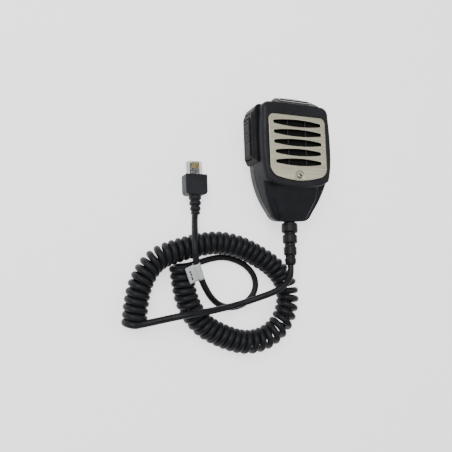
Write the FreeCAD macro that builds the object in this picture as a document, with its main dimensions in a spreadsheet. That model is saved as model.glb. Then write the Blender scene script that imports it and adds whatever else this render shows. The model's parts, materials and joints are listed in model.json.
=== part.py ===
"""Hand microphone with a curly cord and a modular plug, as a parametric assembly.

Frame: millimetres, +Z out of the grille, +Y towards the top of the microphone, +X to its right.
The origin is the middle of the hang-up stud's end face, on which the microphone lies.
"""
import FreeCAD
import Part
import Sketcher

import math
import os
from types import SimpleNamespace

from FreeCAD import Vector

SHEET = "Sizes"
doc = FreeCAD.newDocument("HandMicrophone")
sheet = doc.addObject("Spreadsheet::Sheet", SHEET)
pieces = {}


# ---------------------------------------------------------------- sizes

class Size:
    """A number together with the expression that gives it from the sheet."""

    def __init__(self, value, text):
        self.value = value
        self.text = text

    def __add__(self, other):
        other = as_size(other)
        return Size(self.value + other.value, f"({self.text} + {other.text})")

    def __sub__(self, other):
        other = as_size(other)
        return Size(self.value - other.value, f"({self.text} - {other.text})")

    def __mul__(self, other):
        other = as_size(other)
        return Size(self.value * other.value, f"({self.text} * {other.text})")

    def __truediv__(self, other):
        other = as_size(other)
        return Size(self.value / other.value, f"({self.text} / {other.text})")

    def __radd__(self, other):
        return as_size(other) + self

    def __rsub__(self, other):
        return as_size(other) - self

    def __rmul__(self, other):
        return as_size(other) * self

    def __neg__(self):
        return Size(-self.value, f"(-1 * {self.text})")


def as_size(number):
    """A plain number stays itself; a Size passes through."""
    if isinstance(number, Size):
        return number
    return Size(float(number), f"{float(number)}")


SIZES = {
    "body_half_width": (34.4, "half width of the body at the parting plane"),
    "front_draw": (1.1, "draw of each side from the parting plane to the front face"),
    "shoulder_y": (34.0, "height of the shoulders above the grille's middle"),
    "bottom_y": (64.6, "distance of the bottom end below the grille's middle"),
    "waist_y": (16.0, "distance below the middle at which the sides begin to draw in"),
    "back_z": (5.5, "outer face of the rear cover above the stud's end face"),
    "parting_z": (19.0, "plane in which the two covers meet"),
    "front_z": (36.7, "front face of the front cover"),
    "wall": (2.2, "wall of both covers"),
    "front_edge": (4.2, "rounding of the front edge"),
    "rear_edge": (6.0, "rounding of the rear edge"),
    "chin_start": (30.0, "distance below the middle at which the chin begins to fall"),
    "chin_fall": (10.17, "fall of the chin from there to the bottom end"),
    "chin_drop": (3.2, "step from the front face down to the chin"),
    "band_drop": (5.6, "step from the front face down to the side bands"),
    "bump_half": (22.3, "half width of the top bump at its foot"),
    "bump_rise": (6.2, "height of the bump's crown above the shoulders"),
    "grille_half": (27.3, "half width of the grille plate"),
    "grille_top": (23.2, "top edge of the grille plate"),
    "grille_bottom": (31.8, "lowest point of the grille plate below the middle"),
    "grille_thick": (1.2, "thickness of the grille plate"),
    "grille_sink": (0.2, "front face of the plate below the cover's face"),
    "slot_pitch": (8.2, "distance between slots"),
    "slot_half": (22.9, "half length of the upper slots"),
    "slot_half_low": (21.9, "half length of the two lower slots"),
    "slot_rise": (2.85, "half height of a slot at its middle"),
    "slot_end": (1.25, "half height of a slot near its ends"),
    "rib_x": (8.5, "place of the two ribs behind each slot"),
    "rib_width": (1.3, "width of those ribs"),
    "speaker_r": (19.8, "radius of the loudspeaker's flange"),
    "cone_rim": (3.4, "width of the loudspeaker's flange and surround"),
    "coil_r": (6.2, "mean radius of the voice coil"),
    "board_z": (14.1, "underside of the circuit board"),
    "board_thick": (1.6, "thickness of the circuit board"),
    "stud_head_r": (8.0, "radius of the hang-up stud's head"),
    "stud_head": (2.0, "thickness of the hang-up stud's head"),
    "stud_neck_r": (4.6, "radius of the hang-up stud's neck"),
    "post_r": (3.3, "radius of the case screws' posts"),
    "post_up_in": (10.4, "upper case screws in from the sides"),
    "post_up_down": (7.4, "upper case screws below the shoulders"),
    "post_low_x": (15.5, "lower case screws from the middle"),
    "post_low_up": (16.4, "lower case screws above the bottom end"),
    "screw_r": (1.3, "radius of a case screw's shank"),
    "bar_out": (5.1, "outer face of the talk bar outside the body"),
    "bar_low": (12.2, "lower end of the talk bar below the middle"),
    "bar_high": (21.0, "upper end of the talk bar's face"),
    "bar_width": (11.0, "width of the talk bar"),
    "bar_depth": (5.9, "depth of the talk bar"),
    "pivot_out": (0.9, "talk bar's pivot outside the body"),
    "pivot_up": (2.4, "talk bar's pivot above the upper end of its face"),
    "pivot_r": (1.0, "radius of the pivot pin"),
    "gap": (0.5, "gap around the talk bar"),
    "running": (0.05, "radial clearance of a running fit"),
    "plunger_y": (2.0, "switch plunger below the middle"),
    "plunger_r": (1.2, "radius of the switch plunger"),
    "exit_z": (16.0, "height of the cord's exit"),
    "boot_yaw": (5.0, "lean of the boot to the left, degrees"),
    "boot_pitch": (6.6, "rise of the boot, degrees"),
    "boot_length": (36.8, "length of the boot outside the case"),
    "cord_r": (2.6, "radius of the cord"),
    "curl_r": (9.25, "outer radius of the curly stretch"),
    "plug_x": (82.0, "plug's axis left of the microphone's middle"),
    "plug_z": (6.5, "height of the plug's axis"),
    "plug_y": (24.8, "front end of the plug's boot below the grille's middle"),
    "modular_width": (11.68, "width of the modular plug's body"),
    "modular_height": (6.5, "height of the modular plug's body"),
    "modular_length": (11.0, "length of the plug's body outside its boot"),
    "contact_pitch": (1.02, "distance between contacts"),
    "sleeve_width": (18.2, "width of the plug's boot"),
    "sleeve_height": (13.0, "height of the plug's boot"),
    "sleeve_length": (16.6, "length of the plug's boot"),
    "relief_length": (15.8, "length of the plug's ribbed relief"),
}


def fill_sheet():
    """Write the driving sizes into the sheet and return them by name."""
    for row, (name, (value, meaning)) in enumerate(SIZES.items(), start=1):
        sheet.set(f"A{row}", name)
        sheet.set(f"B{row}", str(value))
        sheet.set(f"C{row}", meaning)
        sheet.setAlias(f"B{row}", name)
    doc.recompute()
    return SimpleNamespace(**{name: Size(value, f"{SHEET}.{name}") for name, (value, _) in SIZES.items()})


S = fill_sheet()
S.front_half_width = S.body_half_width - S.front_draw
S.bump_crown = S.shoulder_y + S.bump_rise
S.chin_slope = S.chin_fall / (S.bottom_y - S.chin_start)
S.cone_r = S.speaker_r - S.cone_rim
S.post_up_x = S.body_half_width - S.post_up_in
S.post_up_y = S.shoulder_y - S.post_up_down
S.post_low_y = S.bottom_y - S.post_low_up
S.bar_x = S.body_half_width + S.bar_out
S.pivot_x = S.body_half_width + S.pivot_out
S.pivot_y = S.bar_high + S.pivot_up


# ---------------------------------------------------------------- helpers

def bind(thing, prop, size):
    """Give a property its value and, where it has one, its expression."""
    size = as_size(size)
    if "." not in prop:
        setattr(thing, prop, size.value)
    thing.setExpression(prop, size.text)


def place(thing, at, rotation=None):
    """Put an object's origin at a point, with an optional turn."""
    x, y, z = (as_size(part) for part in at)
    turn = rotation or FreeCAD.Rotation()
    thing.Placement = FreeCAD.Placement(Vector(x.value, y.value, z.value), turn)
    for axis, size in zip("xyz", (x, y, z)):
        thing.setExpression(f"Placement.Base.{axis}", size.text)


ALONG = {
    "+Z": FreeCAD.Rotation(),
    "-Z": FreeCAD.Rotation(Vector(1, 0, 0), 180),
    "+X": FreeCAD.Rotation(Vector(0, 1, 0), 90),
    "-X": FreeCAD.Rotation(Vector(0, 1, 0), -90),
    "+Y": FreeCAD.Rotation(Vector(1, 0, 0), -90),
    "-Y": FreeCAD.Rotation(Vector(1, 0, 0), 90),
}


def cylinder(name, radius, height, at, along="+Z"):
    """A cylinder whose base centre is at a point."""
    thing = doc.addObject("Part::Cylinder", name)
    bind(thing, "Radius", radius)
    bind(thing, "Height", height)
    place(thing, at, ALONG[along])
    return thing


def block(name, low, high):
    """A box between two corners."""
    thing = doc.addObject("Part::Box", name)
    for prop, a, b in zip(("Length", "Width", "Height"), low, high):
        bind(thing, prop, as_size(b) - a)
    place(thing, low)
    return thing


def fuse(name, *parts):
    """One solid, or one group, from several."""
    thing = doc.addObject("Part::MultiFuse", name)
    thing.Shapes = list(parts)
    return thing


def cut(name, base, *tools):
    """A base with every tool taken away from it."""
    thing = doc.addObject("Part::Cut", name)
    thing.Base = base
    thing.Tool = tools[0] if len(tools) == 1 else fuse(name + "_tools", *tools)
    return thing


def common(name, first, second):
    """What two solids share."""
    thing = doc.addObject("Part::Common", name)
    thing.Base = first
    thing.Tool = second
    return thing


def fill_sketch(sketch, loops):
    """Draw closed loops of lines and arcs, each point tied to the sheet.

    A loop is a list of (x, y) corners; an arc's step carries a third item, the (x, y) point that
    the arc passes through on its way to the next corner.
    """
    for loop in loops:
        drawn = []
        for index, corner in enumerate(loop):
            following = loop[(index + 1) % len(loop)]
            start, end = (Vector(as_size(p[0]).value, as_size(p[1]).value, 0) for p in (corner, following))
            if len(corner) == 3:
                through = Vector(as_size(corner[2][0]).value, as_size(corner[2][1]).value, 0)
                edge = Part.Arc(start, through, end)
            else:
                edge = Part.LineSegment(start, end)
            drawn.append((sketch.addGeometry(edge, False), corner, edge))
        for index, (number, corner, edge) in enumerate(drawn):
            pin(sketch, number, end_nearest(sketch, number, corner), corner)
            if len(corner) == 3:
                through = corner[2]
                spot = Vector(as_size(through[0]).value, as_size(through[1]).value, 0)
                helper = sketch.addGeometry(Part.Point(spot), True)
                pin(sketch, helper, 1, through)
                sketch.addConstraint(Sketcher.Constraint("PointOnObject", helper, 1, number))
            following, next_corner, _ = drawn[(index + 1) % len(drawn)]
            own_end = 3 - end_nearest(sketch, number, corner)
            next_start = end_nearest(sketch, following, next_corner)
            sketch.addConstraint(Sketcher.Constraint("Coincident", number, own_end, following, next_start))


def end_nearest(sketch, number, corner):
    """Which end of an edge, 1 or 2, lies at a corner."""
    spot = Vector(as_size(corner[0]).value, as_size(corner[1]).value, 0)
    first = sketch.getPoint(number, 1).distanceToPoint(spot)
    second = sketch.getPoint(number, 2).distanceToPoint(spot)
    return 1 if first <= second else 2


def pin(sketch, number, end, corner):
    """Tie one point of a sketch to its two coordinates."""
    for kind, size in zip(("DistanceX", "DistanceY"), corner[:2]):
        size = as_size(size)
        index = sketch.addConstraint(Sketcher.Constraint(kind, -1, 1, number, end, size.value))
        sketch.setExpression(f"Constraints[{index}]", size.text)


def outline(name, loops, at=(0, 0, 0), rotation=None):
    """A free sketch, placed where its prism begins."""
    sketch = doc.addObject("Sketcher::SketchObject", name)
    fill_sketch(sketch, loops)
    place(sketch, at, rotation)
    return sketch


def prism(name, loops, height, at=(0, 0, 0), rotation=None):
    """A sketch pulled straight along its own normal."""
    sketch = outline(name + "_outline", loops, at, rotation)
    thing = doc.addObject("Part::Extrusion", name)
    thing.Base = sketch
    thing.DirMode = "Normal"
    thing.Solid = True
    bind(thing, "LengthFwd", height)
    return thing


def body_sketch(body, name, plane, loops):
    """A sketch on one of a body's own origin planes."""
    sketch = body.newObject("Sketcher::SketchObject", name)
    base = [feature for feature in body.Origin.OriginFeatures if feature.Role == plane][0]
    sketch.AttachmentSupport = [(base, "")]
    sketch.MapMode = "FlatFace"
    fill_sketch(sketch, loops)
    return sketch


def turned(name, profile, at=(0, 0, 0), rotation=None):
    """A body of revolution about its own Z axis; the profile is (radius, height) corners."""
    body = doc.addObject("PartDesign::Body", name)
    sketch = body_sketch(body, name + "_profile", "XZ_Plane", [profile])
    turn = body.newObject("PartDesign::Revolution", name + "_turn")
    turn.Profile = sketch
    turn.ReferenceAxis = (sketch, ["V_Axis"])
    turn.Angle = 360
    body.Tip = turn
    place(body, at, rotation)
    return body


def plate(name, loops, thickness, at=(0, 0, 0), rotation=None):
    """A body padded from a sketch on its own XY plane."""
    body = doc.addObject("PartDesign::Body", name)
    sketch = body_sketch(body, name + "_outline", "XY_Plane", loops)
    pad = body.newObject("PartDesign::Pad", name + "_pad")
    pad.Profile = sketch
    bind(pad, "Length", thickness)
    body.Tip = pad
    place(body, at, rotation)
    return body


def circle_loop(x, y, radius):
    """A full circle as two half circles."""
    x, y, radius = as_size(x), as_size(y), as_size(radius)
    return [(x - radius, y, (x, y + radius)), (x + radius, y, (x, y - radius))]


def ring(name, inner, outer, low, high, at=(0, 0, 0), rotation=None):
    """A turned ring or tube."""
    profile = [(inner, low), (outer, low), (outer, high), (inner, high)]
    return turned(name, profile, at, rotation)


def rounded(name, base, radius, chosen):
    """A base with the chosen edges rounded; chosen(edge) says which."""
    doc.recompute()
    thing = doc.addObject("Part::Fillet", name)
    thing.Base = base
    radius = as_size(radius).value
    edges = [i for i, edge in enumerate(base.Shape.Edges, start=1) if chosen(edge)]
    thing.Edges = [(i, radius, radius) for i in edges]
    return thing


def piece(node, thing):
    """Register a finished piece under its node's name."""
    thing.Label = node
    pieces[node] = thing
    return thing


def fixed_shape(name, shape):
    """An object that holds a shape made with Part's own functions."""
    thing = doc.addObject("Part::Feature", name)
    thing.Shape = shape
    return thing


# ---------------------------------------------------------------- the case

FAR = 60.0
SIDE = FreeCAD.Rotation(Vector(1, 1, 1), 120)


def body_loop(shrink=0.0, half=None, draw=0.0):
    """The body's outline, drawn in by a wall: broad shoulders and a tapering lower end."""
    half = (half or S.body_half_width) - shrink
    top = S.shoulder_y - shrink
    bottom = S.bottom_y - shrink
    shoulder = (half - 8.8, top)
    side = (half - 1.2, top - 9.0)
    waist = (half - 0.5, -S.waist_y)
    heel = (half - 14.6 - draw, -bottom + 6.6)
    sole = (half - 21.6 - draw, -bottom + 0.5)
    near_corner = (half - 3.0, top - 2.6)
    flank = (half - 4.6 - draw * 0.55, -S.waist_y - (S.bottom_y - 6.6 - S.waist_y) * 22.5 / 42)
    near_heel = (half - 17.3 - draw, -bottom + 2.6)

    def mirrored(point):
        return (-point[0], point[1])

    return [
        (*shoulder, near_corner), (*side, (half, 2.0)), (*waist, flank), (*heel, near_heel),
        (*sole, (0, -bottom)), (*mirrored(sole), mirrored(near_heel)), (*mirrored(heel), mirrored(flank)),
        (*mirrored(waist), (-half, 2.0)), (*mirrored(side), mirrored(near_corner)),
        (*mirrored(shoulder), (0, top + 0.5)),
    ]


def loft(name, low, low_z, high, high_z):
    """A straight-sided solid between two outlines at two heights."""
    thing = doc.addObject("Part::Loft", name)
    thing.Sections = [outline(name + "_low", [low], (0, 0, low_z)),
                      outline(name + "_high", [high], (0, 0, high_z))]
    thing.Solid = True
    thing.Ruled = True
    return thing


def at_height(size):
    """Whether an edge lies wholly at one height."""
    return lambda edge: all(abs(vertex.Z - size.value) < 1e-6 for vertex in edge.Vertexes)


FACE_Z = S.front_z - S.grille_sink - S.grille_thick
INNER_Z = FACE_Z - S.wall
FLOOR_Z = S.back_z + S.wall
BOARD_TOP = S.board_z + S.board_thick


def case_forms():
    """The two covers' outer forms, before anything is cut from them."""
    front = loft("front_form", body_loop(), S.parting_z, body_loop(half=S.front_half_width, draw=3.0),
                 S.front_z)
    rear = loft("rear_form", body_loop(1.2), S.back_z, body_loop(), S.parting_z)
    return (rounded("front_form_round", front, S.front_edge, at_height(S.front_z)),
            rounded("rear_form_round", rear, S.rear_edge, at_height(S.back_z)))


FRONT_FORM, REAR_FORM = case_forms()


def lower_zone(name, rise):
    """Everything below the bowed lower edge of the front face."""
    low = -2 * FAR
    loop = [(-FAR, -18.0 + rise), (-21.8, -35.0 + rise, (0, -36.8 + rise)), (21.8, -35.0 + rise),
            (FAR, -18.0 + rise), (FAR, low), (-FAR, low)]
    return prism(name, [loop], FAR, (0, 0, 0))


def above_slope(name, drop):
    """Everything above a plane that falls away towards the bottom end."""
    start, end = -S.chin_start, -2 * FAR
    high = S.front_z - drop
    loop = [(start, high), (start, FAR * 2), (end, FAR * 2), (end, high - S.chin_slope * (start - end))]
    return prism(name, [loop], 2 * FAR, (-FAR, 0, 0), SIDE)


def below_slope(name, drop):
    """Everything below such a plane."""
    start, end = -S.chin_start, -2 * FAR
    high = S.front_z - drop
    loop = [(start, high), (start, 0), (end, -2 * FAR), (end, high - S.chin_slope * (start - end))]
    return prism(name, [loop], 2 * FAR, (-FAR, 0, 0), SIDE)


def chin_zone(name, inset):
    """The plan of the raised chin, narrowing to the cord's exit."""
    tip = -S.bottom_y - 1.0
    wide, narrow = 20.4 - inset, 11.0 - inset
    loop = [(-wide, -30.0), (wide, -30.0), (wide, -45.5), (narrow, tip), (-narrow, tip), (-wide, -45.5)]
    return prism(name, [loop], FAR, (0, 0, 0))


def bump(name, low_z, high_z):
    """The bump above the shoulders, from one height to another."""
    side = S.shoulder_y + 0.2
    edge = S.bump_crown - 1.9
    loop = [(-S.bump_half, S.shoulder_y - 4.0), (-S.bump_half, side),
            (-S.bump_half + 4.5, edge, (0, S.bump_crown)),
            (S.bump_half - 4.5, edge), (S.bump_half, side), (S.bump_half, S.shoulder_y - 4.0)]
    return prism(name, [loop], high_z - low_z, (0, 0, low_z))


FACET_Y = S.shoulder_y - 1.5
FACET_TURN = FreeCAD.Rotation(Vector(1, 0, 0), -45)
TRIM_AT = (0, FACET_Y + 3.7, S.front_z - 3.7)


def facet_cut(name, corner_z, direction):
    """The wedge that bevels the bump towards the front (+1) or the back (-1)."""
    reach = 12.0
    loop = [(FACET_Y, corner_z), (FACET_Y + reach, corner_z - direction * reach),
            (FACET_Y + reach, corner_z + direction * reach), (FACET_Y, corner_z + direction * reach)]
    return prism(name, [loop], 2 * FAR, (-FAR, 0, 0), SIDE)


def stadium(half_length, half_height):
    """A loop with round ends."""
    run = as_size(half_length) - half_height
    return [(-run, half_height), (run, half_height, (half_length, 0)), (run, -half_height),
            (-run, -half_height, (-half_length, 0))]


def grille_loop(grow=0.0):
    """The grille plate's outline with its bowed lower edge."""
    half, top, low = S.grille_half + grow, S.grille_top + grow, S.grille_bottom + grow
    small, large = 5.0, 8.5
    near = 0.293
    return [
        (half - small, top, (half - small * near, top - small * near)), (half, top - small),
        (half, -low + 3.5 + large, (half - large * near, -low + 3.2 + large * near)),
        (half - large, -low + 2.6, (0, -low)),
        (-half + large, -low + 2.6, (-half + large * near, -low + 3.2 + large * near)),
        (-half, -low + 3.5 + large), (-half, top - small, (-half + small * near, top - small * near)),
        (-half + small, top),
    ]


def slot_loops(grow=0.0):
    """Five lens-shaped slots; the two lower ones are a little shorter."""
    loops = []
    for row in range(5):
        middle = S.slot_pitch * (2 - row)
        half = (S.slot_half if row < 3 else S.slot_half_low) + grow
        end = S.slot_end + grow
        rise = S.slot_rise + grow
        loops.append([(-half + end, middle + end, (0, middle + rise)),
                      (half - end, middle + end, (half, middle)),
                      (half - end, middle - end, (0, middle - rise)),
                      (-half + end, middle - end, (-half, middle))])
    return loops


def boot_axis_turn():
    """The turn that lays local +Z along the boot, out of the case."""
    yaw = FreeCAD.Rotation(Vector(0, 0, 1), -S.boot_yaw.value)
    return yaw.multiply(FreeCAD.Rotation(Vector(1, 0, 0), 90 - S.boot_pitch.value))


EXIT = (0, -S.bottom_y, S.exit_z)
EXIT_HOLE_R = 5.6


def exit_hole(name, radius=EXIT_HOLE_R):
    """A hole through the bottom wall for the boot's neck."""
    return cylinder(name, radius, 2 * S.wall + 3.0, (0, -S.bottom_y + S.wall + 1.6, S.exit_z), "-Y")


def flange_room(name):
    """The room behind the bottom wall for the boot's flange."""
    return cylinder(name, 7.0, 4.0, (0, -S.bottom_y + S.wall + 0.1, S.exit_z), "+Y")


def talk_window(name):
    """The opening in the left side for the talk bar."""
    half = S.bar_width / 2 + S.gap
    return block(name, (-FAR, -S.bar_low - S.gap, S.parting_z - half),
                 (-S.body_half_width + 6.0, S.pivot_y + 3.0, S.parting_z + half))


def case_posts():
    """Centres of the four case screws."""
    return [(S.post_up_x, S.post_up_y), (-S.post_up_x, S.post_up_y),
            (S.post_low_x, -S.post_low_y), (-S.post_low_x, -S.post_low_y)]


def seal_band(name):
    """A closed band along the middle of the covers' rim."""
    band = cut(name + "_band", prism(name + "_out", [body_loop(0.7)], 0.9, (0, 0, S.parting_z)),
               prism(name + "_in", [body_loop(1.5)], 0.9, (0, 0, S.parting_z)))
    return cut(name, band, talk_window(name + "_window"), exit_hole(name + "_hole", EXIT_HOLE_R + 0.6))


def make_front_cover():
    """The front cover: shell, grille recess, slots, ribs, posts, chin and bump."""
    band = common("band_cut", lower_zone("band_zone", 0.0), above_slope("band_slope", S.band_drop))
    chin = common("chin_cut", lower_zone("chin_edge", 0.0), above_slope("chin_plane", S.chin_drop))
    low = cut("front_low", FRONT_FORM, band)
    raised = common("chin_block", cut("front_chin", FRONT_FORM, chin), chin_zone("chin_zone", 0.0))
    crest = cut("front_bump", bump("front_bump_block", S.parting_z, S.front_z),
                facet_cut("front_facet", S.front_z, 1))
    outer = fuse("front_outer", low, raised, crest)

    hollow = loft("front_hollow", body_loop(S.wall), S.parting_z,
                  body_loop(S.wall, half=S.front_half_width, draw=3.0), INNER_Z)
    inner_band = common("inner_band", lower_zone("inner_zone", S.wall),
                        above_slope("inner_slope", S.band_drop + S.wall))
    inner_chin = common("inner_chin", chin_zone("inner_chin_zone", S.wall),
                        below_slope("inner_chin_slope", S.chin_drop + S.wall))
    hollow = cut("front_hollow_low", hollow, cut("inner_band_beside_chin", inner_band, inner_chin))

    under_slope = S.front_z - S.band_drop - 0.25 - S.chin_slope * (S.post_low_y - S.chin_start)
    heights = [INNER_Z + 0.5 - S.parting_z] * 2 + [under_slope - S.parting_z] * 2
    posts = [cylinder(f"front_post_{i}", S.post_r, heights[i], (x, y, S.parting_z))
             for i, (x, y) in enumerate(case_posts())]
    pilots = [cylinder(f"front_pilot_{i}", S.screw_r, 5.6, (x, y, S.parting_z))
              for i, (x, y) in enumerate(case_posts())]
    ribs = [block(f"front_rib_{side}", (side * S.rib_x - S.rib_width / 2, -S.grille_top + 2.0, INNER_Z),
                  (side * S.rib_x + S.rib_width / 2, S.grille_top - 2.0, FACE_Z - 0.8)) for side in (-1, 1)]
    shell = cut("front_shell", outer, hollow)
    shell = fuse("front_with_posts", shell, *posts)
    shell = cut("front_cut", shell, *pilots,
                prism("grille_seat", [grille_loop(0.15)], 3.0, (0, 0, FACE_Z)),
                prism("slot_openings", slot_loops(0.3), S.wall + 2.0, (0, 0, INNER_Z - 1.0)),
                cylinder("grille_pilot", 1.0, 4.0, (0, -S.grille_bottom + 4.2, INNER_Z - 0.8)),
                talk_window("front_window"), exit_hole("front_exit"), flange_room("front_flange_room"),
                seal_band("front_groove"),
                prism("trim_seat", [stadium(15.7, 2.6)], 3.0,
                      (TRIM_AT[0], TRIM_AT[1] - 0.5, TRIM_AT[2] - 0.5),
                      FACET_TURN),
                prism("insert_seat", [stadium(14.6, 1.7)], 3.0,
                      (TRIM_AT[0], TRIM_AT[1] - 1.2, TRIM_AT[2] - 1.2),
                      FACET_TURN))
    return piece("front_cover", fuse("front_cover", shell, *ribs))


BOARD_POSTS = [(19.5, 14.5), (-19.5, 14.5), (10.5, -36.0), (-10.5, -36.0)]
CLAMP_X, CLAMP_Y = 7.2, S.bottom_y - 10.2


def make_rear_cover():
    """The rear cover: shell, stud boss, case posts, board posts and cord clamp posts."""
    crest = cut("rear_bump", bump("rear_bump_block", S.back_z + 5.5, S.parting_z),
                facet_cut("rear_facet", S.back_z + 5.5, -1))
    outer = fuse("rear_outer", REAR_FORM, crest)
    hollow = loft("rear_hollow", body_loop(1.2 + S.wall), FLOOR_Z, body_loop(S.wall), S.parting_z)
    shell = cut("rear_shell", outer, rounded("rear_hollow_round", hollow, S.rear_edge - S.wall,
                                             at_height(FLOOR_Z)))
    inside = common("rear_inside", shell_posts(), REAR_FORM)
    shell = fuse("rear_with_posts", shell, inside)
    tools = [cylinder("stud_hole", 1.55, FAR, (0, 0, 0))]
    for i, (x, y) in enumerate(case_posts()):
        tools.append(cylinder(f"rear_bore_{i}", S.screw_r + 0.15, FAR, (x, y, S.back_z)))
        tools.append(cylinder(f"rear_sink_{i}", 2.9, 3.2, (x, y, S.back_z - 0.5)))
    for i, (x, y) in enumerate(BOARD_POSTS):
        tools.append(cylinder(f"board_pilot_{i}", 1.0, FAR, (x, y, S.board_z - 4.6)))
    for side in (-1, 1):
        tools.append(cylinder(f"clamp_pilot_{side}", 0.9, FAR, (side * CLAMP_X, -CLAMP_Y, S.exit_z - 6.0)))
    tools += [talk_window("rear_window"), exit_hole("rear_exit"), flange_room("rear_flange_room")]
    return piece("rear_cover", cut("rear_cover", shell, *tools))


def shell_posts():
    """All the posts that rise from the rear cover's floor."""
    posts = [cylinder("stud_boss", 8.8, S.wall + 3.0, (0, 0, S.back_z))]
    for i, (x, y) in enumerate(case_posts()):
        posts.append(cylinder(f"rear_post_{i}", S.post_r, S.parting_z - S.back_z, (x, y, S.back_z)))
    for i, (x, y) in enumerate(BOARD_POSTS):
        posts.append(cylinder(f"board_post_{i}", 2.3, S.board_z - S.back_z, (x, y, S.back_z)))
    for side in (-1, 1):
        posts.append(cylinder(f"clamp_post_{side}", 2.3, S.exit_z - 1.2 - S.back_z,
                              (side * CLAMP_X, -CLAMP_Y, S.back_z)))
    return fuse("rear_posts", *posts)


def make_seal():
    """The gasket between the covers."""
    return piece("perimeter_seal", seal_band("perimeter_seal"))


def case_screw(name, x, y):
    """One case screw: a cheese head in its sink and a shank up into the front cover's post."""
    head = cylinder(name + "_head", 2.6, 1.7, (x, y, S.back_z + 1.0))
    slot = [block(name + "_cross_a", (x - 1.4, y - 0.3, S.back_z), (x + 1.4, y + 0.3, S.back_z + 1.8)),
            block(name + "_cross_b", (x - 0.3, y - 1.4, S.back_z), (x + 0.3, y + 1.4, S.back_z + 1.8))]
    shank = cylinder(name + "_shank", S.screw_r, S.parting_z + 5.4 - (S.back_z + 2.7), (x, y, S.back_z + 2.7))
    return cut(name, fuse(name + "_body", head, shank), *slot)


def make_case_screws():
    """The four screws that hold the covers together."""
    screws = [case_screw(f"case_screw_{i}", x, y) for i, (x, y) in enumerate(case_posts())]
    return piece("case_screws", fuse("case_screws", *screws))


# ---------------------------------------------------------------- grille and trim

def make_grille():
    """The metal grille plate with its slots and the notch around its screw."""
    body = plate("grille_plate", [grille_loop(), *slot_loops()], S.grille_thick, (0, 0, FACE_Z))
    notch_y = -S.grille_bottom + 4.2
    notch = prism("screw_notch", [[(-4.1, notch_y, (0, notch_y + 4.1)), (4.1, notch_y), (4.1, -FAR),
                                   (-4.1, -FAR)]],
                  2.0, (0, 0, FACE_Z + 0.5))
    hole = cylinder("screw_hole", 1.15, 4.0, (0, notch_y, FACE_Z - 1.0))
    return piece("grille_plate", cut("grille", body, notch, hole))


def make_grille_screw():
    """The cross-recess screw at the grille's lower edge."""
    y = -S.grille_bottom + 4.2
    base = FACE_Z + 0.5
    head = turned("grille_screw_head", [(0, 0), (2.3, 0), (2.3, 0.6, (1.9, 1.1)), (1.2, 1.3), (0, 1.35)],
                  (0, y, base))
    shank = cylinder("grille_screw_shank", 1.0, base - (INNER_Z - 0.8), (0, y, INNER_Z - 0.8))
    cross = [block("grille_cross_a", (-1.4, y - 0.42, base + 0.3), (1.4, y + 0.42, base + 2.0)),
             block("grille_cross_b", (-0.42, y - 1.4, base + 0.3), (0.42, y + 1.4, base + 2.0))]
    return piece("grille_screw", cut("grille_screw", fuse("grille_screw_body", head, shank), *cross))


def make_top_trim():
    """The bright ring on the bump's bevel and the combed insert inside it."""
    x, y, z = TRIM_AT
    ring_body = prism("trim_ring_block", [stadium(15.6, 2.5), stadium(14.7, 1.6)], 1.3, (x, y - 0.5, z - 0.5),
                      FACET_TURN)
    piece("top_trim", ring_body)
    insert = prism("insert_block", [stadium(14.5, 1.55)], 1.5, (x, y - 1.2, z - 1.2), FACET_TURN)
    combs = []
    for i in range(-9, 10):
        loop = [(i * 1.4 - 0.35, -1.1), (i * 1.4 + 0.35, -1.1), (i * 1.4 + 0.35, 1.1), (i * 1.4 - 0.35, 1.1)]
        combs.append(loop)
    slits = prism("insert_slits", combs, 2.0, (x, y - 0.6, z - 0.6), FACET_TURN)
    piece("top_insert", cut("top_insert", insert, slits))


# ---------------------------------------------------------------- talk bar

def talk_rim_loop(out, high, low):
    """Plan of one step of the rim around the talk bar."""
    back = -S.body_half_width + 5.0
    shoulder = -S.body_half_width + 1.2
    return [(back, high), (shoulder, high - 0.6, ((shoulder - out) / 2 - 0.7, high - 4.15)),
            (-out, high - 8.5),
            (-out, -low + 4.5, (-out + 1.0, -low + 1.4)), (-out + 3.4, -low), (back, -low)]


def make_talk_rim():
    """The two-step rim that frames the talk bar and carries its pivot pin."""
    first = prism("rim_first", [talk_rim_loop(S.body_half_width + 2.0, S.shoulder_y - 1.1,
                                              S.bar_low + 4.2)], 20.4,
                  (0, 0, S.parting_z - 10.2))
    second = prism("rim_second", [talk_rim_loop(S.bar_x - 1.2, S.shoulder_y - 2.6, S.bar_low + 2.2)], 16.4,
                   (0, 0, S.parting_z - 8.2))
    steps = fuse("rim_steps", first, second)
    half = S.bar_width / 2 + S.gap
    face = block("rim_face_cut", (-FAR, -S.bar_low - S.gap, S.parting_z - half),
                 (-S.body_half_width + 6.0, S.bar_high + 0.6, S.parting_z + half))
    recess = block("rim_recess", (-S.bar_x + 2.1, -S.bar_low - S.gap, S.parting_z - half),
                   (-S.body_half_width + 6.0, S.pivot_y + 3.0, S.parting_z + half))
    pin_hole = cylinder("rim_pin_hole", S.pivot_r, S.bar_width + 5.0,
                        (-S.pivot_x, S.pivot_y, S.parting_z - S.bar_width / 2 - 2.5))
    return piece("talk_rim", cut("talk_rim", steps, FRONT_FORM, REAR_FORM, face, recess, pin_hole))


TALK_GROOVES = (1.2, 9.5, 17.4)


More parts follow.
